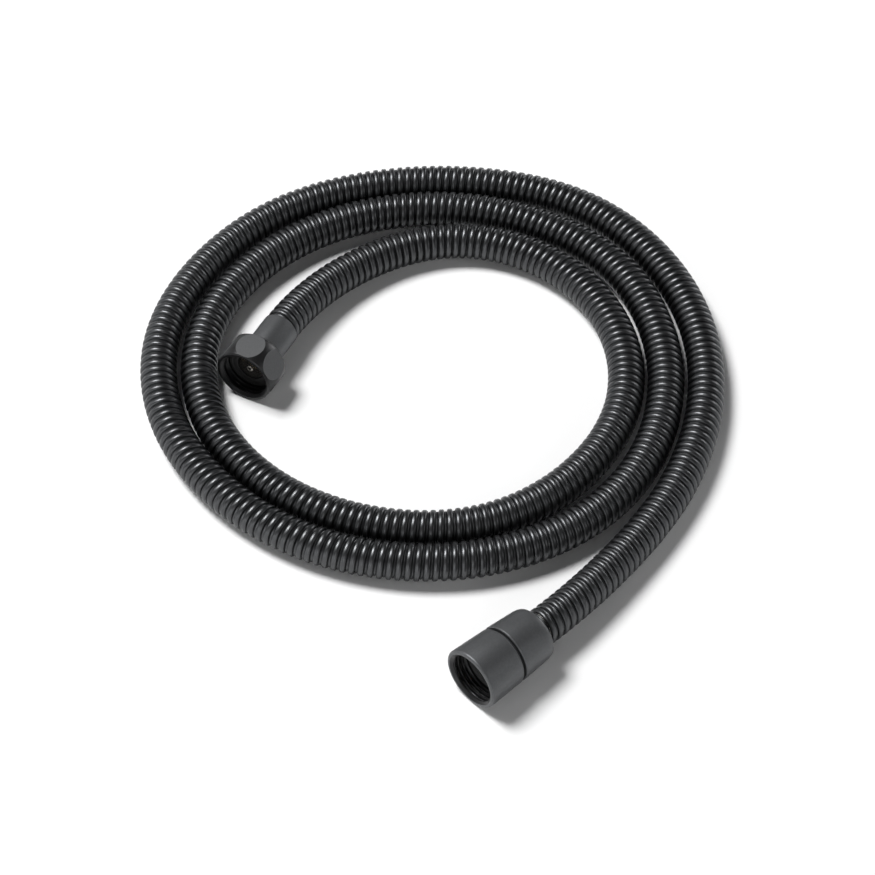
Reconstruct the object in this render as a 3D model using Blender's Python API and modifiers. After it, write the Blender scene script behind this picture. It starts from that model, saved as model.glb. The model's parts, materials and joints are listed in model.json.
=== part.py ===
"""Shower hose with a swivelling handset coupling and a hex supply nut.

A strip-wound metal hose lies on the floor in a flat spiral of just over two and a half turns.
+Z is up, the floor is z = 0, and the origin is the middle of the object's footprint.
The handset coupling opens towards -Y. All sizes below are in millimetres.
"""

import math

import bmesh
import bpy
import numpy as np
from mathutils import Matrix, Vector

MM = 0.001

# The hose: a metal casing round a rubber tube.
HOSE_RADIUS = 7.0
CASING_BORE_RADIUS = 6.55
TUBE_RADIUS = 5.2
TUBE_BORE_RADIUS = 4.0
WATERWAY_RADIUS = 2.4

# The hose's centreline from the handset coupling to the supply ferrule.
ROUTE = (
    (107.1, -64.4, 10.5), (104.5, -21, 8), (96, 19, 7), (77, 56, 7), (48, 84, 7), (10, 100, 7),
    (-31, 99, 7), (-67, 79, 7), (-94, 49, 7), (-110, 11, 7), (-109, -30, 7), (-92, -67, 7),
    (-60, -92, 7), (-20, -101, 7), (20, -94, 7), (54, -72, 7), (77, -38, 7), (83, 2, 7),
    (69, 41, 7), (41, 70, 7), (4, 85, 7), (-36, 79, 7), (-70, 56, 7), (-91, 21, 7),
    (-95, -19, 7), (-80, -57, 7), (-48, -81, 7), (-8, -86, 7), (30, -72, 7), (58, -42, 7),
    (66, -2, 7), (54, 36, 7), (24, 62, 7), (-15, 68, 7), (-51, 50, 7), (-67, 13, 7.5),
    (-61.5, -33.3, 10.6),
)
COIL_CENTRE = (-3.0, 0.0)
POINTS_PER_TURN = 28
END_STEPS = (0.0, 4.0, 9.0, 16.0)
SPLINE_SAMPLES = 60
CASING_RESOLUTION = 4
TUBE_RESOLUTION = 2

# Where each end's axis points, from its mouth into the hose, and how far its mouth is lifted.
HANDSET_HEADING = 88.7
HANDSET_LIFT = 2.3
SUPPLY_HEADING = 109.0
SUPPLY_LIFT = 2.2

# What both ends share: the running gap between pieces, small chamfers, the threaded socket and seal.
GAP = 0.3
CHAMFER = 0.3
SOCKET_RADIUS = 9.4
SOCKET_MOUTH_RADIUS = 10.3
SOCKET_CHAMFER = 0.9
SEAL_RADIUS = 9.1
SEAL_HOLE_RADIUS = 5.6
BARB_RADIUS = 3.0
BARB_EDGE = 0.1

# The handset coupling. Each span holds stations measured from its mouth towards the hose.
NUT_LENGTH = 15.6
NUT_FRONT_RADIUS = 11.7
NUT_REAR_RADIUS = 11.1
NUT_LIP_START = 13.1
NUT_RIM = 0.6
NUT_CHAMFER = 0.4
HANDSET_SEAL = (7.2, 9.6)
SPINDLE_FLANGE = (9.9, 11.7)
SPINDLE_FLANGE_RADIUS = 8.9
HANDSET_SLIP = (12.0, 12.8)
THRUST_RING = (15.9, 16.5)
THRUST_RING_RADIUS = 9.9
SHANK_RADIUS = 5.75
SHANK_END = 25.5
CLIP = (18.3, 18.9)
CLIP_RADII = (5.2, 6.65)
CLIP_GROOVE = (18.1, 19.1)
CLIP_GROOVE_RADIUS = 4.9
CLIP_POCKET = (18.0, 19.2)
CLIP_POCKET_RADIUS = 6.95
RING_GROOVES = ((19.8, 22.0), (22.6, 24.8))
RING_GROOVE_RADIUS = 4.2
SLEEVE = (16.8, 32.0)
SLEEVE_FRONT_RADIUS = 11.1
SLEEVE_REAR_RADIUS = 10.3
SLEEVE_BORE_RADIUS = 8.9
SLEEVE_BACK_START = 29.7
SHOULDER_RADIUS = 2.8
INSERT_RADIUS = 8.6
INSERT_SOCKET_RADIUS = 6.05
INSERT_SHOULDER = 26.4
HOSE_START = 26.7
CLAW_RING = (26.7, 29.4)
CRIMP_BAND = (28.2, 35.2)
CRIMP_BAND_RADIUS = 6.1
HANDSET_BARB_END = 39.2
HANDSET_BARB_HEIGHT = 0.4
HANDSET_BARB_RIDGES = 3

# The supply end. Each span holds stations measured from its mouth towards the hose.
HEX_LENGTH = 13.6
HEX_ACROSS_FLATS = 22.6
BARREL_RADIUS = 12.5
BARREL_CROWN_RADIUS = 17.0
BARREL_MIDDLE = 6.4
BARREL_SPAN = (0.4, 11.8)
HEX_REAR = ((8.0, 13.6), (9.4, 13.5), (10.8, 12.8))
HEX_FRONT_RADIUS = 11.0
HEX_LIP_START = 11.2
HEX_HOLE_RADIUS = 7.5
SUPPLY_SEAL = (5.6, 7.9)
NIPPLE_FLANGE = (8.2, 9.8)
SUPPLY_SLIP = (10.1, 10.9)
FERRULE = (10.1, 29.1)
FERRULE_RADIUS = 7.2
FERRULE_BORE_RADIUS = 5.5
FERRULE_STUB = 32.1
FERRULE_STUB_RADIUS = 6.0
NIPPLE_HUB_END = 11.9
SUPPLY_BARB_END = 25.9
SUPPLY_BARB_HEIGHT = 0.5
SUPPLY_BARB_RIDGES = 4
FILTER_RADIUS = 5.3
FILTER_RIM = (6.2, 6.7)
FILTER_CROWN_RADIUS = 3.0
FILTER_CROWN = (5.4, 5.9)
FILTER_TOP = (4.9, 5.4)
FILTER_EYE_RADIUS = 0.8

ROUND_STEPS = 32
SMALL_STEPS = 24
WELD_DISTANCE = 0.00001
SHARP_ANGLE = 50.0


def clear_scene():
    for item in list(bpy.data.objects):
        bpy.data.objects.remove(item, do_unlink=True)


def new_collection(name):
    collection = bpy.data.collections.new(name)
    bpy.context.scene.collection.children.link(collection)
    return collection


def new_material(name, colour, roughness, metallic):
    material = bpy.data.materials.new(name)
    material.use_nodes = True
    shader = material.node_tree.nodes["Principled BSDF"]
    shader.inputs["Base Color"].default_value = (*colour, 1.0)
    shader.inputs["Roughness"].default_value = roughness
    shader.inputs["Metallic"].default_value = metallic
    return material


def axis_direction(heading, lift):
    """The unit vector from a fitting's mouth into the hose, which runs down towards the floor."""
    turn, tip = math.radians(heading), math.radians(lift)
    return Vector((math.cos(turn) * math.cos(tip), math.sin(turn) * math.cos(tip), -math.sin(tip)))


def axis_matrix(hose_end, distance, heading, lift):
    """A frame at the fitting's mouth: its Z runs into the hose and its X is level."""
    along = axis_direction(heading, lift)
    level = along.cross(Vector((0, 0, 1))).normalized()
    frame = Matrix((level, along.cross(level), along)).transposed().to_4x4()
    frame.translation = (Vector(hose_end) - along * distance) * MM
    return frame


def new_axis(name, matrix, collection):
    empty = bpy.data.objects.new(name, None)
    empty.matrix_world = matrix
    collection.objects.link(empty)
    return empty


def arc(centre, radius, first, last, steps):
    """Points on an arc about (radius, station) centre, with angles in degrees from the radial way."""
    angles = np.radians(np.linspace(first, last, steps))
    return [(centre[0] + radius * math.cos(a), centre[1] + radius * math.sin(a)) for a in angles]


def turned(name, outline, axis, material, collection, steps=SMALL_STEPS):
    """Turns a closed outline of (radius, station) points about the axis.

    The outline runs along the outer side from the hose end to the mouth, and back inside.
    """
    mesh = bpy.data.meshes.new(name)
    points = [(radius * MM, 0.0, station * MM) for radius, station in outline]
    edges = [(i, (i + 1) % len(points)) for i in range(len(points))]
    mesh.from_pydata(points, edges, [])
    mesh.materials.append(material)
    piece = bpy.data.objects.new(name, mesh)
    collection.objects.link(piece)
    piece.parent = axis
    turn = piece.modifiers.new("Turn", "SCREW")
    turn.axis = "Z"
    turn.steps = steps
    turn.render_steps = steps
    turn.use_merge_vertices = True
    turn.merge_threshold = WELD_DISTANCE
    turn.use_smooth_shade = True
    return piece


def ring(name, inner, outer, span, axis, material, collection):
    """A flat ring between two radii and two stations."""
    start, end = span
    outline = [(outer, end), (outer, start), (inner, start), (inner, end)]
    return turned(name, outline, axis, material, collection)


def barb(start, end, height, ridges):
    """The outer side of a hose barb, from its tip back to its root."""
    pitch = (end - start) / (ridges + 1)
    points = [(BARB_RADIUS, end)]
    for number in range(1, ridges + 1):
        root = end - number * pitch
        points += [(BARB_RADIUS + height, root), (BARB_RADIUS, root - BARB_EDGE)]
    return points + [(BARB_RADIUS, start)]


def curve_tube(name, points, radius, resolution, collection):
    """A round tube with filled caps along a polyline."""
    curve = bpy.data.curves.new(name, "CURVE")
    curve.dimensions = "3D"
    curve.bevel_depth = radius * MM
    curve.bevel_resolution = resolution
    curve.use_fill_caps = True
    spline = curve.splines.new("POLY")
    spline.points.add(len(points) - 1)
    for target, point in zip(spline.points, points):
        target.co = (*(point * MM), 1.0)
    tube = bpy.data.objects.new(name, curve)
    collection.objects.link(tube)
    return tube


def as_mesh(tube, collection):
    """The tube as a mesh object with its caps welded, in place of the curve."""
    graph = bpy.context.evaluated_depsgraph_get()
    mesh = bpy.data.meshes.new_from_object(tube.evaluated_get(graph))
    work = bmesh.new()
    work.from_mesh(mesh)
    bmesh.ops.remove_doubles(work, verts=work.verts, dist=WELD_DISTANCE)
    bmesh.ops.recalc_face_normals(work, faces=work.faces)
    work.to_mesh(mesh)
    work.free()
    name, place = tube.name, tube.matrix_world.copy()
    bpy.data.objects.remove(tube, do_unlink=True)
    solid = bpy.data.objects.new(name, mesh)
    solid.matrix_world = place
    collection.objects.link(solid)
    mesh.shade_smooth()
    mesh.set_sharp_from_angle(angle=math.radians(SHARP_ANGLE))
    return solid


def hide_cutter(cutter):
    cutter.hide_render = True
    cutter.display_type = "WIRE"


def boolean(piece, cutter, operation):
    cut = piece.modifiers.new("Cut", "BOOLEAN")
    cut.operation = operation
    cut.solver = "EXACT"
    cut.object = cutter


def clamped_spline(points, first_way, last_way, samples):
    """A smooth cubic curve through the points, leaving and arriving along the two directions."""
    points = np.array(points, float)
    reach = np.linalg.norm(np.diff(points, axis=0), axis=1)
    slopes = np.zeros_like(points)
    count = len(points)
    system = np.eye(count)
    slopes[0], slopes[-1] = first_way, last_way
    for i in range(1, count - 1):
        before, after = reach[i - 1], reach[i]
        system[i, i - 1 : i + 2] = after, 2 * (before + after), before
        rise = after / before * (points[i] - points[i - 1]) + before / after * (points[i + 1] - points[i])
        slopes[i] = 3 * rise
    slopes = np.linalg.solve(system, slopes)
    curve = []
    for i in range(count - 1):
        t = np.linspace(0, 1, samples, endpoint=False)[:, None]
        start, end = points[i], points[i + 1]
        leave, arrive = slopes[i] * reach[i], slopes[i + 1] * reach[i]
        curve.append(
            (2 * t**3 - 3 * t**2 + 1) * start + (t**3 - 2 * t**2 + t) * leave
            + (3 * t**2 - 2 * t**3) * end + (t**3 - t**2) * arrive
        )
    curve = np.vstack(curve + [points[-1:]])
    curve[:, 2] = np.maximum(curve[:, 2], HOSE_RADIUS)
    return curve


def route_points(leave, arrive):
    """The centreline's points: close together at both ends, then at even angles round the coil.

    Even angles put the points of neighbouring turns side by side, so their facets line up too.
    """
    curve = clamped_spline(ROUTE, leave, arrive, SPLINE_SAMPLES)
    run = np.concatenate([[0], np.cumsum(np.linalg.norm(np.diff(curve, axis=0), axis=1))])
    spokes = curve[:, :2] - COIL_CENTRE
    angle = np.unwrap(np.arctan2(spokes[:, 1], spokes[:, 0]))
    step = 2 * math.pi / POINTS_PER_TURN
    numbers = np.arange(math.ceil(angle[0] / step), math.floor(angle[-1] / step) + 1)
    even = np.interp(numbers * step, angle, run)
    clear = END_STEPS[-1] * 1.5
    even = even[(even > clear) & (even < run[-1] - clear)]
    stations = np.concatenate([END_STEPS, even, run[-1] - np.array(END_STEPS[::-1])])
    return np.stack([np.interp(stations, run, curve[:, k]) for k in range(3)], axis=1)


def hollow_tube(name, points, radius, bore, resolution, material, collection, cutters):
    """A tube along the points with a bore right through it."""
    beyond = 3.0
    bore_points = points.copy()
    for end, inner in ((0, 1), (-1, -2)):
        outward = points[end] - points[inner]
        bore_points[end] += outward / np.linalg.norm(outward) * beyond
    piece = as_mesh(curve_tube(name, points, radius, resolution, collection), collection)
    cutter = as_mesh(curve_tube(name + "_bore", bore_points, bore, resolution, cutters), cutters)
    hide_cutter(cutter)
    boolean(piece, cutter, "DIFFERENCE")
    piece.data.materials.append(material)


def make_hose(black, rubber, collection, cutters):
    leave = np.array(axis_direction(HANDSET_HEADING, HANDSET_LIFT))
    arrive = -np.array(axis_direction(SUPPLY_HEADING, SUPPLY_LIFT))
    points = route_points(leave, arrive)
    start = points[0] - leave * (SLEEVE[1] - HOSE_START)
    casing = np.vstack([start, points[:-1], points[-1] - arrive * GAP])
    hollow_tube(
        "hose_casing", casing, HOSE_RADIUS, CASING_BORE_RADIUS, CASING_RESOLUTION,
        black, collection, cutters,
    )
    tube_end = points[-1] + arrive * (FERRULE[1] - NIPPLE_HUB_END - GAP)
    tube = np.vstack([start, points, tube_end])
    hollow_tube(
        "inner_tube", tube, TUBE_RADIUS, TUBE_BORE_RADIUS, TUBE_RESOLUTION,
        rubber, collection, cutters,
    )


def make_handset_nut(axis, black, plastic, rubber, collection):
    outline = [(NUT_REAR_RADIUS - NUT_CHAMFER, NUT_LENGTH)]
    outline += [(NUT_REAR_RADIUS, NUT_LENGTH - NUT_CHAMFER)]
    outline += arc((NUT_FRONT_RADIUS - NUT_RIM, NUT_RIM), NUT_RIM, 0, -90, 4)
    outline += [(SOCKET_MOUTH_RADIUS, 0), (SOCKET_RADIUS, SOCKET_CHAMFER)]
    outline += [(SOCKET_RADIUS, NUT_LIP_START), (SHANK_RADIUS + GAP, NUT_LIP_START)]
    outline += [(SHANK_RADIUS + GAP, NUT_LENGTH)]
    turned("handset_nut", outline, axis, black, collection, ROUND_STEPS)
    ring("handset_washer", SEAL_HOLE_RADIUS, SEAL_RADIUS, HANDSET_SEAL, axis, rubber, collection)
    ring("handset_slip_ring", SHANK_RADIUS + GAP, SEAL_RADIUS, HANDSET_SLIP, axis, plastic, collection)


def make_spindle(axis, brass, steel, plastic, rubber, collection):
    outline = [(SHANK_RADIUS, SHANK_END)]
    grooves = [(RING_GROOVE_RADIUS, groove) for groove in reversed(RING_GROOVES)]
    grooves.append((CLIP_GROOVE_RADIUS, CLIP_GROOVE))
    for depth, (start, end) in grooves:
        outline += [(SHANK_RADIUS, end), (depth, end), (depth, start), (SHANK_RADIUS, start)]
    outline += [(SHANK_RADIUS, SPINDLE_FLANGE[1]), (SPINDLE_FLANGE_RADIUS, SPINDLE_FLANGE[1])]
    outline += [(SPINDLE_FLANGE_RADIUS, SPINDLE_FLANGE[0]), (WATERWAY_RADIUS, SPINDLE_FLANGE[0])]
    outline += [(WATERWAY_RADIUS, SHANK_END)]
    turned("swivel_spindle", outline, axis, brass, collection)
    ring(
        "swivel_thrust_ring", SHANK_RADIUS + GAP, THRUST_RING_RADIUS, THRUST_RING,
        axis, plastic, collection,
    )
    ring("spindle_clip", *CLIP_RADII, CLIP, axis, steel, collection)
    thickness = INSERT_SOCKET_RADIUS - RING_GROOVE_RADIUS - 2 * GAP
    for name, groove in zip(("o_ring_front", "o_ring_rear"), RING_GROOVES):
        middle = (RING_GROOVE_RADIUS + GAP + thickness / 2, sum(groove) / 2)
        outline = arc(middle, thickness / 2, 90, -270, 9)[:-1]
        turned(name, outline, axis, rubber, collection)


def make_handset_sleeve(axis, black, brass, steel, collection):
    start, end = SLEEVE
    shoulder = (SLEEVE_REAR_RADIUS - SHOULDER_RADIUS, end - SHOULDER_RADIUS)
    outline = arc(shoulder, SHOULDER_RADIUS, 90, 0, 6)
    outline += [(SLEEVE_FRONT_RADIUS, start + CHAMFER), (SLEEVE_FRONT_RADIUS - CHAMFER, start)]
    outline += [(SLEEVE_BORE_RADIUS, start), (SLEEVE_BORE_RADIUS, SLEEVE_BACK_START)]
    outline += [(HOSE_RADIUS + GAP, SLEEVE_BACK_START), (HOSE_RADIUS + GAP, end)]
    turned("handset_sleeve", outline, axis, black, collection, ROUND_STEPS)
    outline = barb(INSERT_SHOULDER, HANDSET_BARB_END, HANDSET_BARB_HEIGHT, HANDSET_BARB_RIDGES)
    outline += [(INSERT_RADIUS, INSERT_SHOULDER), (INSERT_RADIUS, start)]
    outline += [(INSERT_SOCKET_RADIUS, start)]
    outline += [(INSERT_SOCKET_RADIUS, CLIP_POCKET[0]), (CLIP_POCKET_RADIUS, CLIP_POCKET[0])]
    outline += [(CLIP_POCKET_RADIUS, CLIP_POCKET[1]), (INSERT_SOCKET_RADIUS, CLIP_POCKET[1])]
    outline += [(INSERT_SOCKET_RADIUS, SHANK_END + GAP), (WATERWAY_RADIUS, SHANK_END + GAP)]
    outline += [(WATERWAY_RADIUS, HANDSET_BARB_END)]
    turned("handset_insert", outline, axis, brass, collection)
    ring("handset_claw_ring", HOSE_RADIUS + GAP, INSERT_RADIUS, CLAW_RING, axis, steel, collection)
    ring("handset_crimp_band", TUBE_RADIUS + GAP, CRIMP_BAND_RADIUS, CRIMP_BAND, axis, steel, collection)


def barrel_side(first, last, steps):
    """The hex nut's crowned outer side between two stations."""
    stations = np.linspace(first, last, steps)
    drop = (stations - BARREL_MIDDLE) ** 2 / (2 * BARREL_CROWN_RADIUS)
    return [(BARREL_RADIUS - fall, station) for fall, station in zip(drop, stations)]


def hexagon_prism(axis, cutters):
    """A prism with one flat facing up, longer than the nut it shapes."""
    corner = HEX_ACROSS_FLATS / 2 / math.cos(math.pi / 6) * MM
    mesh = bpy.data.meshes.new("hex_prism")
    work = bmesh.new()
    bmesh.ops.create_cone(
        work, cap_ends=True, segments=6, radius1=corner, radius2=corner, depth=4 * HEX_LENGTH * MM
    )
    bmesh.ops.rotate(work, verts=work.verts, matrix=Matrix.Rotation(math.pi / 6, 3, "Z"))
    work.to_mesh(mesh)
    work.free()
    prism = bpy.data.objects.new("hex_prism", mesh)
    cutters.objects.link(prism)
    prism.parent = axis
    hide_cutter(prism)
    return prism


def make_hex_nut(axis, black, plastic, rubber, steel, collection, cutters):
    outline = [*HEX_REAR, *barrel_side(BARREL_SPAN[1], BARREL_SPAN[0], 7)]
    outline += [(HEX_FRONT_RADIUS, 0), (SOCKET_MOUTH_RADIUS, 0), (SOCKET_RADIUS, SOCKET_CHAMFER)]
    outline += [(SOCKET_RADIUS, HEX_LIP_START), (HEX_HOLE_RADIUS, HEX_LIP_START)]
    outline += [(HEX_HOLE_RADIUS, HEX_LENGTH)]
    nut = turned("hex_nut", outline, axis, black, collection, ROUND_STEPS)
    boolean(nut, hexagon_prism(axis, cutters), "INTERSECT")
    ring("supply_washer", SEAL_HOLE_RADIUS, SEAL_RADIUS, SUPPLY_SEAL, axis, rubber, collection)
    ring("supply_slip_ring", HEX_HOLE_RADIUS, SEAL_RADIUS, SUPPLY_SLIP, axis, plastic, collection)
    outline = [(FILTER_RADIUS, FILTER_RIM[1]), (FILTER_RADIUS, FILTER_RIM[0])]
    outline += [(FILTER_CROWN_RADIUS, FILTER_CROWN[0]), (FILTER_EYE_RADIUS, FILTER_TOP[0])]
    outline += [(FILTER_EYE_RADIUS, FILTER_TOP[1]), (FILTER_CROWN_RADIUS, FILTER_CROWN[1])]
    turned("supply_filter", outline, axis, steel, collection)


def make_supply_end(axis, black, brass, collection):
    start, end = FERRULE
    outline = [(FERRULE_STUB_RADIUS, FERRULE_STUB), (FERRULE_STUB_RADIUS, end)]
    outline += [(FERRULE_RADIUS - CHAMFER, end), (FERRULE_RADIUS, end - CHAMFER)]
    outline += [(FERRULE_RADIUS, start), (FERRULE_BORE_RADIUS, start)]
    outline += [(FERRULE_BORE_RADIUS, FERRULE_STUB)]
    turned("supply_ferrule", outline, axis, black, collection, ROUND_STEPS)
    outline = barb(NIPPLE_HUB_END, SUPPLY_BARB_END, SUPPLY_BARB_HEIGHT, SUPPLY_BARB_RIDGES)
    outline += [(TUBE_RADIUS, NIPPLE_HUB_END), (TUBE_RADIUS, NIPPLE_FLANGE[1])]
    outline += [(SEAL_RADIUS, NIPPLE_FLANGE[1]), (SEAL_RADIUS, NIPPLE_FLANGE[0])]
    outline += [(WATERWAY_RADIUS, NIPPLE_FLANGE[0]), (WATERWAY_RADIUS, SUPPLY_BARB_END)]
    turned("supply_nipple", outline, axis, brass, collection)


def build():
    clear_scene()
    parts = new_collection("shower_hose")
    cutters = new_collection("cutters")
    black = new_material("black_plated_metal", (0.03, 0.03, 0.033), 0.35, 0.9)
    rubber = new_material("black_rubber", (0.02, 0.02, 0.02), 0.8, 0.0)
    brass = new_material("brass", (0.72, 0.53, 0.25), 0.3, 1.0)
    steel = new_material("spring_steel", (0.6, 0.6, 0.6), 0.3, 1.0)
    plastic = new_material("slip_plastic", (0.05, 0.05, 0.05), 0.5, 0.0)
    handset_frame = axis_matrix(ROUTE[0], SLEEVE[1], HANDSET_HEADING, HANDSET_LIFT)
    supply_frame = axis_matrix(ROUTE[-1], FERRULE[1], SUPPLY_HEADING, SUPPLY_LIFT)
    handset = new_axis("handset_axis", handset_frame, parts)
    supply = new_axis("supply_axis", supply_frame, parts)
    make_hose(black, rubber, parts, cutters)
    make_handset_nut(handset, black, plastic, rubber, parts)
    make_spindle(handset, brass, steel, plastic, rubber, parts)
    make_handset_sleeve(handset, black, brass, steel, parts)
    make_hex_nut(supply, black, plastic, rubber, steel, parts, cutters)
    make_supply_end(supply, black, brass, parts)


build()
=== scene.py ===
"""Visual model of a black strip-wound shower hose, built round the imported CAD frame.

The hose lies in a flat spiral on a pale floor. Its casing is one long helix of wound strip, and
each end has its real couplings: a round swivelling nut and sleeve, and a crowned hexagon nut on a
ferrule. Lengths in the constants below are in millimetres, except the route, which is in metres.
"""

import json
import math

import bmesh
import bpy
import numpy as np
from mathutils import Matrix, Vector


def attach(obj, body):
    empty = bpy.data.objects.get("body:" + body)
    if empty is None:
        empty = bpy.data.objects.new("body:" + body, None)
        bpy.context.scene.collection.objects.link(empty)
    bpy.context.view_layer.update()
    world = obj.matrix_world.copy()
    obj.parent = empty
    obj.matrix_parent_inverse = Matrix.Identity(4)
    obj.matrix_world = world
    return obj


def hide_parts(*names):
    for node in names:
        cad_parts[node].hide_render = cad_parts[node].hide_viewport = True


MM = 0.001
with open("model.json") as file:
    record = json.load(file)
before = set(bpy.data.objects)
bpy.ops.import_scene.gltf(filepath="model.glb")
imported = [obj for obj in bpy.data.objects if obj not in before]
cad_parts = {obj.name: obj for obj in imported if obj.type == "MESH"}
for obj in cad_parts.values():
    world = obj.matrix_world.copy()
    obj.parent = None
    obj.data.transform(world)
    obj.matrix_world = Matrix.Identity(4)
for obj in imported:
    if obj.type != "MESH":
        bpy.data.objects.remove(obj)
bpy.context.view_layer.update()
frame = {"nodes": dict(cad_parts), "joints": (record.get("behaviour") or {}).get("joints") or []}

# The hose's centreline, from the sleeve of the handset coupling to the supply ferrule, in metres.
ROUTE = (
    (0.1071, -0.0644, 0.0105), (0.1045, -0.021, 0.008), (0.096, 0.019, 0.007), (0.077, 0.056, 0.007),
    (0.048, 0.084, 0.007), (0.010, 0.100, 0.007), (-0.031, 0.099, 0.007), (-0.067, 0.079, 0.007),
    (-0.094, 0.049, 0.007), (-0.110, 0.011, 0.007), (-0.109, -0.030, 0.007), (-0.092, -0.067, 0.007),
    (-0.060, -0.092, 0.007), (-0.020, -0.101, 0.007), (0.020, -0.094, 0.007), (0.054, -0.072, 0.007),
    (0.077, -0.038, 0.007), (0.083, 0.002, 0.007), (0.069, 0.041, 0.007), (0.041, 0.070, 0.007),
    (0.004, 0.085, 0.007), (-0.036, 0.079, 0.007), (-0.070, 0.056, 0.007), (-0.091, 0.021, 0.007),
    (-0.095, -0.019, 0.007), (-0.080, -0.057, 0.007), (-0.048, -0.081, 0.007), (-0.008, -0.086, 0.007),
    (0.030, -0.072, 0.007), (0.058, -0.042, 0.007), (0.066, -0.002, 0.007), (0.054, 0.036, 0.007),
    (0.024, 0.062, 0.007), (-0.015, 0.068, 0.007), (-0.051, 0.050, 0.007), (-0.067, 0.013, 0.0075),
    (-0.0615, -0.0333, 0.0106),
)
HOSE_RADIUS = 7.0
STRIP_PITCH = 3.2
STRIP_SIDES = 28
# One turn of the strip: how far along from the rib's middle, and the radius there.
STRIP_PROFILE = (
    (-1.12, 6.05), (-0.98, 6.68), (-0.55, 6.99), (0.55, 6.99), (0.98, 6.68), (1.12, 6.05), (1.60, 6.34),
)
HOSE_IN_SLEEVE = 4.0

# Camera: where it looks, from where, and its lens.
LOOK_AT = (0.0132, -0.02185, 0.0)
CAMERA_AZIMUTH = 46.0
CAMERA_ELEVATION = 50.0
CAMERA_DISTANCE = 1.006
CAMERA_LENS = 110.1
SENSOR = 36.0
LIGHT_DISTANCE = 3.0
LIGHT_SIZE = 1.15

# Stations along each fitting's axis, measured from its mouth towards the hose.
JOINT_STATION = 7.0
SOCKET_RADIUS = 9.35
SOCKET_MOUTH_RADIUS = 10.3
THREAD_PITCH = 1.814
THREAD_DEPTH = 1.05
THREAD_ROWS = 14
SEAL_RADIUS = 9.1
SEAL_HOLE_RADIUS = 5.6
SIDES = 96
SCREEN_PITCH = 0.75


def joint_frame(name):
    """A frame at the mouth of the fitting that turns on this joint: its Z runs into the hose."""
    joint = next(item for item in frame["joints"] if item["name"] == name)
    along = Vector(joint["axis"]).normalized()
    level = along.cross(Vector((0, 0, 1))).normalized()
    place = Matrix((level, along.cross(level), along)).transposed().to_4x4()
    place.translation = Vector(joint["pos_m"]) - along * JOINT_STATION * MM
    return place


# ---------------------------------------------------------------- meshes

def new_piece(name, mesh, place, body, material, replaces=()):
    """Puts a mesh in the scene as a piece that moves with a CAD body."""
    piece = bpy.data.objects.new(name, mesh)
    piece.matrix_world = place
    bpy.context.scene.collection.objects.link(piece)
    if material:
        mesh.materials.append(material)
    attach(piece, body)
    if replaces:
        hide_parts(*replaces)
    return piece


def filleted(corners, steps=5):
    """A closed outline of (radius, station) points from (radius, station, fillet) corners."""
    points = []
    for number, (radius, station, fillet) in enumerate(corners):
        here = np.array((radius, station), float)
        if not fillet:
            points.append(tuple(here))
            continue
        before = np.array(corners[number - 1][:2], float) - here
        after = np.array(corners[(number + 1) % len(corners)][:2], float) - here
        start = here + before / np.linalg.norm(before) * fillet
        end = here + after / np.linalg.norm(after) * fillet
        for t in np.linspace(0, 1, steps):
            points.append(tuple((1 - t) ** 2 * start + 2 * t * (1 - t) * here + t**2 * end))
    return points


def thread_rows(first, last):
    """Corners along the threaded wall of a socket, close enough together to carry the thread."""
    count = round((last - first) / THREAD_PITCH * THREAD_ROWS)
    return [(SOCKET_RADIUS, station, 0) for station in np.linspace(first, last, count)]


def thread_growth(station, angle, first, last):
    """How far an internal right-hand thread cuts into the wall at a station and an angle."""
    phase = station / THREAD_PITCH - angle / (2 * math.pi)
    flank = 0.5 + 0.62 * np.cos(2 * math.pi * phase)
    run_in = np.clip((station - first) / 0.8, 0, 1) * np.clip((last - station) / 1.2, 0, 1)
    return THREAD_DEPTH * np.clip(flank, 0, 1) * run_in


def turned_mesh(name, outline, sides=SIDES, thread=None):
    """A closed mesh of an outline turned about Z. thread is the stations between which it is cut."""
    outline = np.array(outline, float)
    angles = np.linspace(0, 2 * math.pi, sides, endpoint=False)
    radii = np.repeat(outline[:, :1], sides, axis=1)
    stations = np.repeat(outline[:, 1:], sides, axis=1)
    if thread:
        first, last = thread
        wall = (np.abs(radii - SOCKET_RADIUS) < 1e-6) & (stations > first) & (stations < last)
        radii = radii + wall * thread_growth(stations, angles[None, :], first, last)
    points = np.stack([radii * np.cos(angles), radii * np.sin(angles), stations], axis=2)
    rows, columns = np.meshgrid(np.arange(len(outline)), np.arange(sides), indexing="ij")
    below, beside = (rows + 1) % len(outline), (columns + 1) % sides
    quads = np.stack(
        [rows * sides + columns, rows * sides + beside, below * sides + beside, below * sides + columns],
        axis=2,
    )
    mesh = bpy.data.meshes.new(name)
    mesh.from_pydata((points.reshape(-1, 3) * MM).tolist(), [], quads.reshape(-1, 4).tolist())
    return tidied(mesh)


def tidied(mesh, sharp=35.0, weld=1e-7):
    """Welds a mesh, points its faces outwards and shades it smooth up to an angle."""
    work = bmesh.new()
    work.from_mesh(mesh)
    bmesh.ops.remove_doubles(work, verts=work.verts, dist=weld)
    bmesh.ops.recalc_face_normals(work, faces=work.faces)
    work.to_mesh(mesh)
    work.free()
    mesh.shade_smooth()
    mesh.set_sharp_from_angle(angle=math.radians(sharp))
    return mesh


def turned_piece(name, corners, place, body, material, replaces, sides=SIDES, thread=None):
    mesh = turned_mesh(name, filleted(corners), sides, thread)
    return new_piece(name, mesh, place, body, material, replaces)


# ---------------------------------------------------------------- the hose

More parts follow.
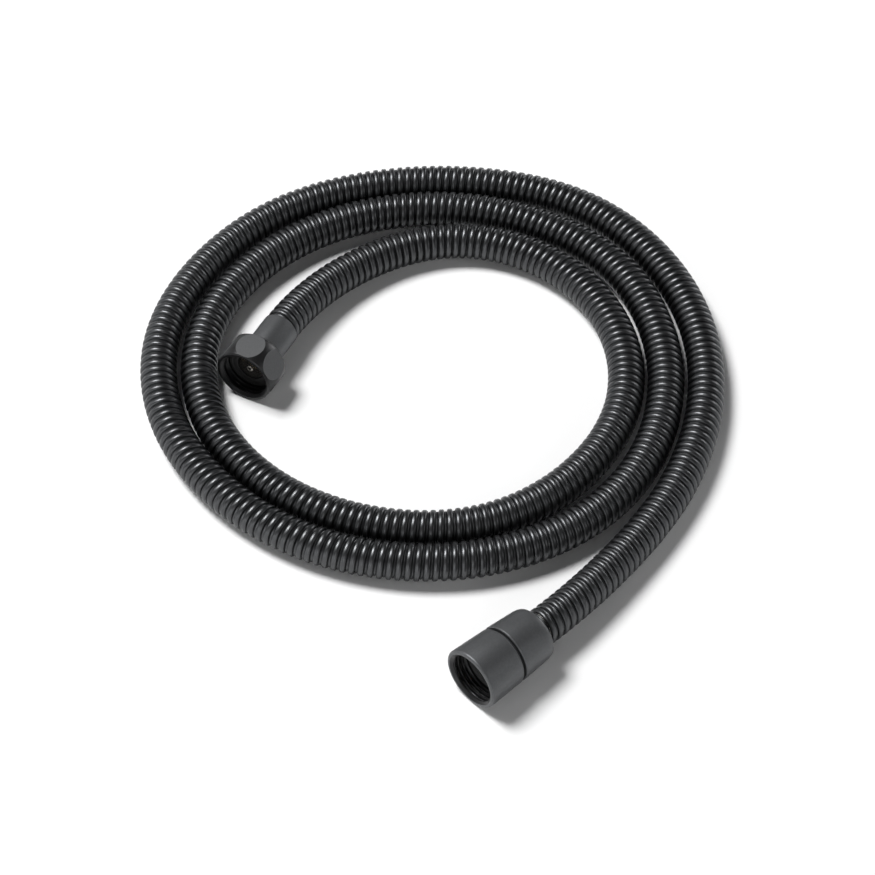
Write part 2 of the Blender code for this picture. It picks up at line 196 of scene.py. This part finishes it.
def clamped_spline(points, first_way, last_way, samples):
    """A smooth cubic curve through the points, leaving and arriving along the two directions."""
    points = np.array(points, float)
    reach = np.linalg.norm(np.diff(points, axis=0), axis=1)
    slopes = np.zeros_like(points)
    count = len(points)
    system = np.eye(count)
    slopes[0], slopes[-1] = first_way, last_way
    for i in range(1, count - 1):
        before, after = reach[i - 1], reach[i]
        system[i, i - 1 : i + 2] = after, 2 * (before + after), before
        rise = after / before * (points[i] - points[i - 1]) + before / after * (points[i + 1] - points[i])
        slopes[i] = 3 * rise
    slopes = np.linalg.solve(system, slopes)
    curve = []
    for i in range(count - 1):
        t = np.linspace(0, 1, samples, endpoint=False)[:, None]
        start, end = points[i], points[i + 1]
        leave, arrive = slopes[i] * reach[i], slopes[i + 1] * reach[i]
        curve.append(
            (2 * t**3 - 3 * t**2 + 1) * start + (t**3 - 2 * t**2 + t) * leave
            + (3 * t**2 - 2 * t**3) * end + (t**3 - t**2) * arrive
        )
    curve = np.vstack(curve + [points[-1:]])
    curve[:, 2] = np.maximum(curve[:, 2], HOSE_RADIUS * MM)
    return curve


class Centreline:
    """The hose's centreline by distance along it, with a straight run past each end."""

    def __init__(self, leave, arrive, beyond=0.02):
        curve = clamped_spline(ROUTE, leave, arrive, samples=24)
        curve = np.vstack([curve[0] - leave * beyond, curve, curve[-1] + arrive * beyond])
        run = np.concatenate([[0], np.cumsum(np.linalg.norm(np.diff(curve, axis=0), axis=1))])
        self.run = run - beyond
        self.length = run[-1] - 2 * beyond
        self.points = curve
        along = np.gradient(curve, self.run, axis=0)
        self.along = along / np.linalg.norm(along, axis=1)[:, None]
        self.bend = np.gradient(self.along, self.run, axis=0)
        side = np.cross(self.along, (0, 0, 1))
        self.side = side / np.linalg.norm(side, axis=1)[:, None]
        self.up = np.cross(self.side, self.along)

    def at(self, values, stations):
        return np.stack([np.interp(stations, self.run, values[:, k]) for k in range(3)], axis=-1)


def strip_points(line, start, end):
    """Points on the wound strip: one helix of ribs, each as wide on the inside of a bend as outside.

    They come as rows along the helix, one row for each point of the profile, and the last point of
    each row meets the first point of the row one turn later.
    """
    turns = math.ceil((end - start) / (STRIP_PITCH * MM))
    offsets, radii = (np.array(column) * MM for column in zip(*STRIP_PROFILE))
    turn, point, side = np.meshgrid(
        np.arange(turns), np.arange(len(offsets)), np.arange(STRIP_SIDES), indexing="ij"
    )
    middle = start + (turn + side / STRIP_SIDES) * STRIP_PITCH * MM
    angle = side * (2 * math.pi / STRIP_SIDES)
    radius = radii[point]

    def outward(stations):
        level, up = line.at(line.side, stations), line.at(line.up, stations)
        return np.cos(angle)[..., None] * level + np.sin(angle)[..., None] * up

    stretch = 1 - radius * np.sum(line.at(line.bend, middle) * outward(middle), axis=-1)
    stations = middle + offsets[point] / stretch
    points = line.at(line.points, stations) + radius[..., None] * outward(stations)
    return points.reshape(-1, STRIP_SIDES, 3)


def cut_flat(work, point, normal, reach):
    """Cuts the tube square at a plane, drops what lies beyond it, and caps the cut."""
    middle = Vector(point)
    near = {vert for vert in work.verts if (vert.co - middle).length < reach}
    faces = [face for face in work.faces if near.issuperset(face.verts)]
    edges = {edge for face in faces for edge in face.edges}
    verts = {vert for face in faces for vert in face.verts}
    cut = bmesh.ops.bisect_plane(
        work, geom=[*verts, *edges, *faces], plane_co=point, plane_no=normal, clear_outer=True, dist=1e-7
    )
    rim = [item for item in cut["geom_cut"] if isinstance(item, bmesh.types.BMEdge)]
    bmesh.ops.contextual_create(work, geom=rim)


def make_casing(line, material):
    """The wound metal casing, from inside the sleeve to the ferrule's end."""
    start, end = -HOSE_IN_SLEEVE * MM, line.length - 0.1 * MM
    spare = 2 * STRIP_PITCH * MM
    rows = strip_points(line, start - spare, end + spare)
    per_turn = len(STRIP_PROFILE)
    count = len(rows)
    quads = []
    for row in range(count - 1):
        for side in range(STRIP_SIDES - 1):
            here = row * STRIP_SIDES + side
            quads.append((here, here + 1, here + STRIP_SIDES + 1, here + STRIP_SIDES))
        later = row + per_turn
        if later < count - 1:
            here = row * STRIP_SIDES + STRIP_SIDES - 1
            quads.append((here, later * STRIP_SIDES, (later + 1) * STRIP_SIDES, here + STRIP_SIDES))
    mesh = bpy.data.meshes.new("hose_strip_casing")
    mesh.from_pydata(rows.reshape(-1, 3).tolist(), [], quads)
    work = bmesh.new()
    work.from_mesh(mesh)
    for station, way in ((start, -1), (end, 1)):
        point = line.at(line.points, station)
        cut_flat(work, point, line.at(line.along, station) * way, 2 * spare)
    loose = [vert for vert in work.verts if not vert.link_faces]
    bmesh.ops.delete(work, geom=loose, context="VERTS")
    work.to_mesh(mesh)
    work.free()
    tidied(mesh, sharp=50.0)
    casing = new_piece(
        "hose_strip_casing", mesh, Matrix(), "hose", material, ["hose_casing"]
    )
    stations = np.arange(start, end, 0.002)
    tuple(line.at(line.points, 0.0))
    line.at(line.points, stations).tolist()
    return casing


# ---------------------------------------------------------------- the handset coupling

def make_handset_nut(place, material, socket_shade_material):
    threaded = (0.9, 6.9)
    corners = [(10.75, 15.6, 0), (11.1, 15.25, 0.15), (11.7, 0.6, 0.4), (11.15, 0.0, 0.3)]
    corners += [(SOCKET_MOUTH_RADIUS, 0.0, 0.1), *thread_rows(*threaded)]
    corners += [(SOCKET_RADIUS, 13.1, 0), (6.1, 13.1, 0), (6.1, 15.6, 0)]
    nut = turned_piece(
        "handset_nut_threaded", corners, place, "handset_coupling", material,
        ["handset_nut"], thread=threaded,
    )
    # The socket's bore and thread take the much darker turned metal: painted shade inside the nut's mouth.
    nut.data.materials.append(socket_shade_material)
    for face in nut.data.polygons:
        if face.center.xy.length < SOCKET_MOUTH_RADIUS * MM:
            face.material_index = 1


def make_handset_sleeve(place, material):
    corners = [(7.12, 32.0, 0.12), (8.0, 32.0, 0.3), (9.6, 31.3, 0.9), (10.3, 29.4, 1.2)]
    corners += [(11.1, 17.1, 0.15), (10.8, 16.8, 0.1), (8.9, 16.8, 0), (8.9, 29.7, 0), (7.12, 29.7, 0)]
    turned_piece(
        "handset_sleeve_turned", corners, place, "hose", material, ["handset_sleeve"]
    )


def make_thrust_ring(place, material):
    corners = [(9.9, 16.5, 0.1), (9.9, 15.9, 0.1), (6.1, 15.9, 0), (6.1, 16.5, 0)]
    turned_piece(
        "swivel_thrust_ring_turned", corners, place, "swivel", material,
        ["swivel_thrust_ring"],
    )


def make_washer(name, first, last, place, body, material, node):
    """A flat rubber washer with a moulded bead round its face."""
    middle = (SEAL_RADIUS + SEAL_HOLE_RADIUS) / 2
    corners = [(SEAL_RADIUS, last, 0.15), (SEAL_RADIUS, first, 0.25), (middle + 0.7, first, 0.1)]
    corners += [(middle + 0.4, first + 0.25, 0.1), (middle - 0.4, first + 0.25, 0.1)]
    corners += [(middle - 0.7, first, 0.1), (SEAL_HOLE_RADIUS, first, 0.25), (SEAL_HOLE_RADIUS, last, 0.15)]
    turned_piece(name, corners, place, body, material, [node])


# ---------------------------------------------------------------- the supply end

def make_ferrule(place, material):
    corners = [(6.0, 32.1, 0), (6.0, 29.1, 0), (6.9, 29.1, 0.15), (7.2, 28.7, 0.2)]
    corners += [(7.2, 10.1, 0.1), (5.5, 10.1, 0), (5.5, 32.1, 0)]
    turned_piece(
        "supply_ferrule_turned", corners, place, "hose", material, ["supply_ferrule"]
    )


def hexagon_prism(across, material):
    """A long six-sided cutter about Z with one flat towards +Y."""
    corner = across / 2 / math.cos(math.pi / 6) * MM
    mesh = bpy.data.meshes.new("flats_cutter")
    work = bmesh.new()
    bmesh.ops.create_cone(work, cap_ends=True, segments=6, radius1=corner, radius2=corner, depth=0.1)
    bmesh.ops.rotate(work, verts=work.verts, matrix=Matrix.Rotation(math.pi / 6, 3, "Z"))
    work.to_mesh(mesh)
    work.free()
    mesh.materials.append(material)
    cutter = bpy.data.objects.new("flats_cutter", mesh)
    bpy.context.scene.collection.objects.link(cutter)
    return cutter


def make_hex_nut(place, material, milled):
    """A crowned barrel nut whose six milled flats show as ovals."""
    threaded = (0.9, 5.3)
    crown_radius, barrel_radius, middle = 17.0, 12.5, 6.4
    barrel = [
        (barrel_radius - (station - middle) ** 2 / (2 * crown_radius), station, 0)
        for station in np.linspace(11.8, 0.4, 24)
    ]
    corners = [(7.5, 13.6, 0.1), (8.0, 13.6, 0.3), (9.4, 13.5, 0.5), (10.8, 12.8, 0.6), *barrel]
    corners += [(11.0, 0.0, 0.2), (SOCKET_MOUTH_RADIUS, 0.0, 0.1)]
    corners += thread_rows(*threaded)
    corners += [(SOCKET_RADIUS, 11.2, 0), (7.5, 11.2, 0)]
    mesh = turned_mesh("hex_nut_blank", filleted(corners), 160, threaded)
    mesh.materials.append(material)
    blank = bpy.data.objects.new("hex_nut_blank", mesh)
    bpy.context.scene.collection.objects.link(blank)
    cutter = hexagon_prism(22.6, milled)
    cut = blank.modifiers.new("Flats", "BOOLEAN")
    cut.operation, cut.solver, cut.object = "INTERSECT", "EXACT", cutter
    cut.material_mode = "TRANSFER"
    graph = bpy.context.evaluated_depsgraph_get()
    result = bpy.data.meshes.new_from_object(blank.evaluated_get(graph))
    for helper in (blank, cutter):
        bpy.data.objects.remove(helper, do_unlink=True)
    tidied(result, sharp=7.0, weld=1e-6)
    result.name = "hex_nut_crowned"
    new_piece(
        "hex_nut_crowned", result, place, "supply_coupling", None, ["hex_nut"]
    )


def wire_points(offset, across, phase, radius, crown):
    """Points along one wire of the domed screen, weaving over and under its neighbours."""
    half = math.sqrt(max(radius**2 - offset**2, 0.01))
    along = np.linspace(-half, half, 29)
    dome = crown * (1 - (along**2 + offset**2) / radius**2)
    weave = 0.13 * np.cos(math.pi * along / SCREEN_PITCH + phase)
    level = np.full_like(along, offset)
    plane = (level, along) if across else (along, level)
    return np.stack([*plane, -dome + weave], axis=1)


def make_filter(place, screen_shade_material, eyelet_material):
    """The strainer in the hex nut's washer: a rim, a woven domed screen and an eyelet. Rim and screen are steel
    darkened as painted shade inside the nut's mouth.
    """
    seat, radius, crown = 6.3, 4.75, 1.3
    corners = [(5.3, 6.7, 0.1), (5.3, 6.0, 0.2), (4.6, 6.0, 0.2), (4.6, 6.7, 0.1)]
    turned_piece(
        "supply_filter_rim", corners, place, "supply_coupling", screen_shade_material,
        ["supply_filter"], sides=64,
    )
    corners = [(1.35, 5.2, 0.1), (1.25, 4.9, 0.2), (0.8, 4.75, 0.15), (0.7, 5.2, 0.1)]
    turned_piece(
        "supply_filter_eyelet", corners, place, "supply_coupling", eyelet_material, (),
        sides=48,
    )
    curve = bpy.data.curves.new("supply_filter_screen", "CURVE")
    curve.dimensions = "3D"
    curve.bevel_depth = 0.15 * MM
    curve.bevel_resolution = 1
    curve.use_fill_caps = True
    reach = int(radius // SCREEN_PITCH)
    for across in (False, True):
        for number in range(-reach, reach + 1):
            phase = math.pi * (number + across)
            points = wire_points(number * SCREEN_PITCH, across, phase, radius, crown)
            spline = curve.splines.new("POLY")
            spline.points.add(len(points) - 1)
            for target, point in zip(spline.points, points):
                target.co = (point[0] * MM, point[1] * MM, (seat + point[2]) * MM, 1.0)
    holder = bpy.data.objects.new("screen_holder", curve)
    bpy.context.scene.collection.objects.link(holder)
    graph = bpy.context.evaluated_depsgraph_get()
    mesh = bpy.data.meshes.new_from_object(holder.evaluated_get(graph))
    bpy.data.objects.remove(holder, do_unlink=True)
    new_piece(
        "supply_filter_screen", tidied(mesh, sharp=60.0), place, "supply_coupling", screen_shade_material,
    )


# ---------------------------------------------------------------- materials

def node_tools(material):
    """Short ways to add and join nodes in a material."""
    tree = material.node_tree

    def add(kind, **settings):
        node = tree.nodes.new(kind)
        for name, value in settings.items():
            setattr(node, name, value)
        return node

    def join(source, target):
        tree.links.new(source, target)

    return add, join


def surface(name, colour, roughness, metallic, spread=0.05, grain=600.0, bump=0.03, wear=0.0,
            stretch=(1.0, 1.0, 1.0), coat=0.0):
    """A worn, slightly uneven surface: roughness and colour drift, fine grain and brighter edges."""
    material = bpy.data.materials.new(name)
    material.use_nodes = True
    add, join = node_tools(material)
    shader = material.node_tree.nodes["Principled BSDF"]
    shader.inputs["Metallic"].default_value = metallic
    shader.inputs["Coat Weight"].default_value = coat
    place = add("ShaderNodeTexCoord").outputs["Object"]
    scaled = add("ShaderNodeMapping")
    scaled.inputs["Scale"].default_value = stretch
    join(place, scaled.inputs["Vector"])

    drift = add("ShaderNodeTexNoise")
    drift.inputs["Scale"].default_value = 60.0
    drift.inputs["Detail"].default_value = 4.0
    join(place, drift.inputs["Vector"])
    fine = add("ShaderNodeTexNoise")
    fine.inputs["Scale"].default_value = grain
    fine.inputs["Detail"].default_value = 3.0
    join(scaled.outputs["Vector"], fine.inputs["Vector"])

    rough = add("ShaderNodeMapRange")
    rough.inputs["To Min"].default_value = roughness - spread
    rough.inputs["To Max"].default_value = roughness + spread
    join(drift.outputs["Fac"], rough.inputs["Value"])
    join(rough.outputs["Result"], shader.inputs["Roughness"])

    dark = tuple(value * 0.95 for value in colour)
    light = tuple(min(1.0, value * 1.05) for value in colour)
    tint = add("ShaderNodeValToRGB")
    tint.color_ramp.elements[0].position, tint.color_ramp.elements[1].position = 0.35, 0.65
    tint.color_ramp.elements[0].color = (*dark, 1.0)
    tint.color_ramp.elements[1].color = (*light, 1.0)
    join(fine.outputs["Fac"], tint.inputs["Fac"])
    colour_out = tint.outputs["Color"]
    if wear:
        edge = add("ShaderNodeMapRange")
        edge.inputs["From Min"].default_value = 0.52
        edge.inputs["From Max"].default_value = 0.62
        edge.inputs["To Max"].default_value = wear
        join(add("ShaderNodeNewGeometry").outputs["Pointiness"], edge.inputs["Value"])
        mix = add("ShaderNodeMix", data_type="RGBA")
        mix.inputs["B"].default_value = (*(min(1.0, value * 2.5) for value in colour), 1.0)
        join(edge.outputs["Result"], mix.inputs["Factor"])
        join(colour_out, mix.inputs["A"])
        colour_out = mix.outputs["Result"]
    join(colour_out, shader.inputs["Base Color"])

    relief = add("ShaderNodeBump")
    relief.inputs["Strength"].default_value = bump
    relief.inputs["Distance"].default_value = 0.0002
    join(fine.outputs["Fac"], relief.inputs["Height"])
    join(relief.outputs["Normal"], shader.inputs["Normal"])
    return material


# ---------------------------------------------------------------- the stage

def make_camera():
    turn, tip = math.radians(CAMERA_AZIMUTH), math.radians(CAMERA_ELEVATION)
    back = Vector((math.sin(turn) * math.cos(tip), -math.cos(turn) * math.cos(tip), math.sin(tip)))
    data = bpy.data.cameras.new("camera")
    data.lens, data.sensor_width = CAMERA_LENS, SENSOR
    camera = bpy.data.objects.new("camera", data)
    camera.location = Vector(LOOK_AT) + back * CAMERA_DISTANCE
    camera.rotation_euler = (-back).to_track_quat("-Z", "Y").to_euler()
    bpy.context.scene.collection.objects.link(camera)
    bpy.context.scene.camera = camera


def soft_light(name, azimuth, elevation, power):
    """A round soft light aimed at the middle of the coil. It stands at an azimuth, turned from the
    camera's right towards what is behind the coil, and at an elevation above the floor, in degrees."""
    turn, tip = math.radians(CAMERA_AZIMUTH + azimuth), math.radians(elevation)
    data = bpy.data.lights.new(name, "AREA")
    data.shape = "DISK"
    data.size, data.energy = LIGHT_SIZE, power
    light = bpy.data.objects.new(name, data)
    way = Vector((math.cos(turn) * math.cos(tip), math.sin(turn) * math.cos(tip), math.sin(tip)))
    light.location = way * LIGHT_DISTANCE
    light.rotation_euler = way.to_track_quat("Z", "Y").to_euler()
    bpy.context.scene.collection.objects.link(light)


def make_floor():
    size = 3.0
    mesh = bpy.data.meshes.new("floor")
    mesh.from_pydata([(-size, -size, 0), (size, -size, 0), (size, size, 0), (-size, size, 0)], [], [(0, 1, 2, 3)])
    material = bpy.data.materials.new("floor_paper")
    material.use_nodes = True
    shader = material.node_tree.nodes["Principled BSDF"]
    shader.inputs["Base Color"].default_value = (0.9, 0.9, 0.9, 1.0)
    shader.inputs["Roughness"].default_value = 0.9
    shader.inputs["Specular IOR Level"].default_value = 0.1
    mesh.materials.append(material)
    floor = bpy.data.objects.new("floor", mesh)
    bpy.context.scene.collection.objects.link(floor)


def make_world():
    """A studio that is white round the horizon and dark overhead, where the lights stand."""
    world = bpy.data.worlds.new("studio")
    world.use_nodes = True
    add, join = node_tools(world)
    background = world.node_tree.nodes["Background"]
    background.inputs["Color"].default_value = (0.97, 0.98, 1.0, 1.0)
    height = add("ShaderNodeSeparateXYZ")
    join(add("ShaderNodeTexCoord").outputs["Generated"], height.inputs["Vector"])
    fade = add("ShaderNodeMapRange")
    fade.inputs["From Min"].default_value = 0.08
    fade.inputs["From Max"].default_value = 0.3
    fade.inputs["To Min"].default_value = 0.8
    fade.inputs["To Max"].default_value = 0.03
    join(height.outputs["Z"], fade.inputs["Value"])
    join(fade.outputs["Result"], background.inputs["Strength"])
    bpy.context.scene.world = world


def make_stage():
    make_floor()
    make_world()
    bpy.context.scene.view_settings.view_transform = "Standard"
    soft_light("key", azimuth=150, elevation=61, power=104.0)
    soft_light("left_fill", azimuth=165, elevation=30, power=9.0)
    soft_light("front_fill", azimuth=255, elevation=30, power=6.0)
    soft_light("right_fill", azimuth=335, elevation=30, power=7.0)
    soft_light("back_low_fill", azimuth=45, elevation=12, power=18.0)
    soft_light("front_low_fill", azimuth=255, elevation=12, power=8.0)
    soft_light("left_low_fill", azimuth=215, elevation=12, power=8.0)


# ---------------------------------------------------------------- build

make_camera()
handset = joint_frame("handset_nut_spin")
supply = joint_frame("hex_nut_spin")
leave = np.array(handset.to_3x3().col[2])
arrive = -np.array(supply.to_3x3().col[2])
line = Centreline(leave, arrive)

casing_black = surface("black_plated_strip", (0.082, 0.084, 0.087), 0.38, 1.0, grain=900.0, bump=0.015)
fitting_black = surface("black_satin_metal", (0.106, 0.109, 0.113), 0.48, 0.75, grain=1400.0, bump=0.02)
# Very dark metal: the hex nut's turned barrel colour, and painted shade inside the handset nut's socket.
turned_black_and_socket_shade = surface("black_turned_metal_and_socket_shade", (0.025, 0.025, 0.026), 0.36, 0.7, grain=1400.0, bump=0.02)
milled_black = surface("black_milled_metal", (0.1, 0.102, 0.105), 0.5, 0.55, grain=1400.0, bump=0.02)
rubber = surface("black_rubber", (0.02, 0.02, 0.02), 0.7, 0.0, bump=0.1)
plastic = surface("black_slip_plastic", (0.03, 0.03, 0.032), 0.5, 0.0)
brass = surface("turned_brass", (0.72, 0.53, 0.25), 0.28, 1.0)
steel = surface("bare_steel", (0.5, 0.48, 0.44), 0.3, 1.0)
# Steel darkened almost to black: painted shade on the filter in the hex nut's mouth and on the claw ring seen in
# the gap behind the sleeve.
shade_dark_steel = surface("steel_darkened_for_painted_shade", (0.045, 0.043, 0.04), 0.45, 1.0)

make_casing(line, casing_black)
make_handset_nut(handset, fitting_black, turned_black_and_socket_shade)
make_handset_sleeve(handset, fitting_black)
make_thrust_ring(handset, plastic)
make_washer("handset_washer_moulded", 7.2, 9.6, handset, "handset_coupling", rubber, "handset_washer")
make_ferrule(supply, fitting_black)
make_hex_nut(supply, turned_black_and_socket_shade, milled_black)
make_washer("supply_washer_moulded", 5.6, 7.9, supply, "supply_coupling", rubber, "supply_washer")
make_filter(supply, shade_dark_steel, steel)

NODE_MATERIALS = {
    "inner_tube": rubber, "o_ring_front": rubber, "o_ring_rear": rubber,
    "handset_slip_ring": plastic, "supply_slip_ring": plastic,
    "swivel_spindle": brass, "handset_insert": brass, "supply_nipple": brass,
    # The claw ring takes the darkened steel as painted shade in the gap behind the sleeve.
    "spindle_clip": steel, "handset_claw_ring": shade_dark_steel, "handset_crimp_band": steel,
}
for node_name, node_material in NODE_MATERIALS.items():
    node = frame["nodes"][node_name]
    node.data.materials.clear()
    node.data.materials.append(node_material)

make_stage()
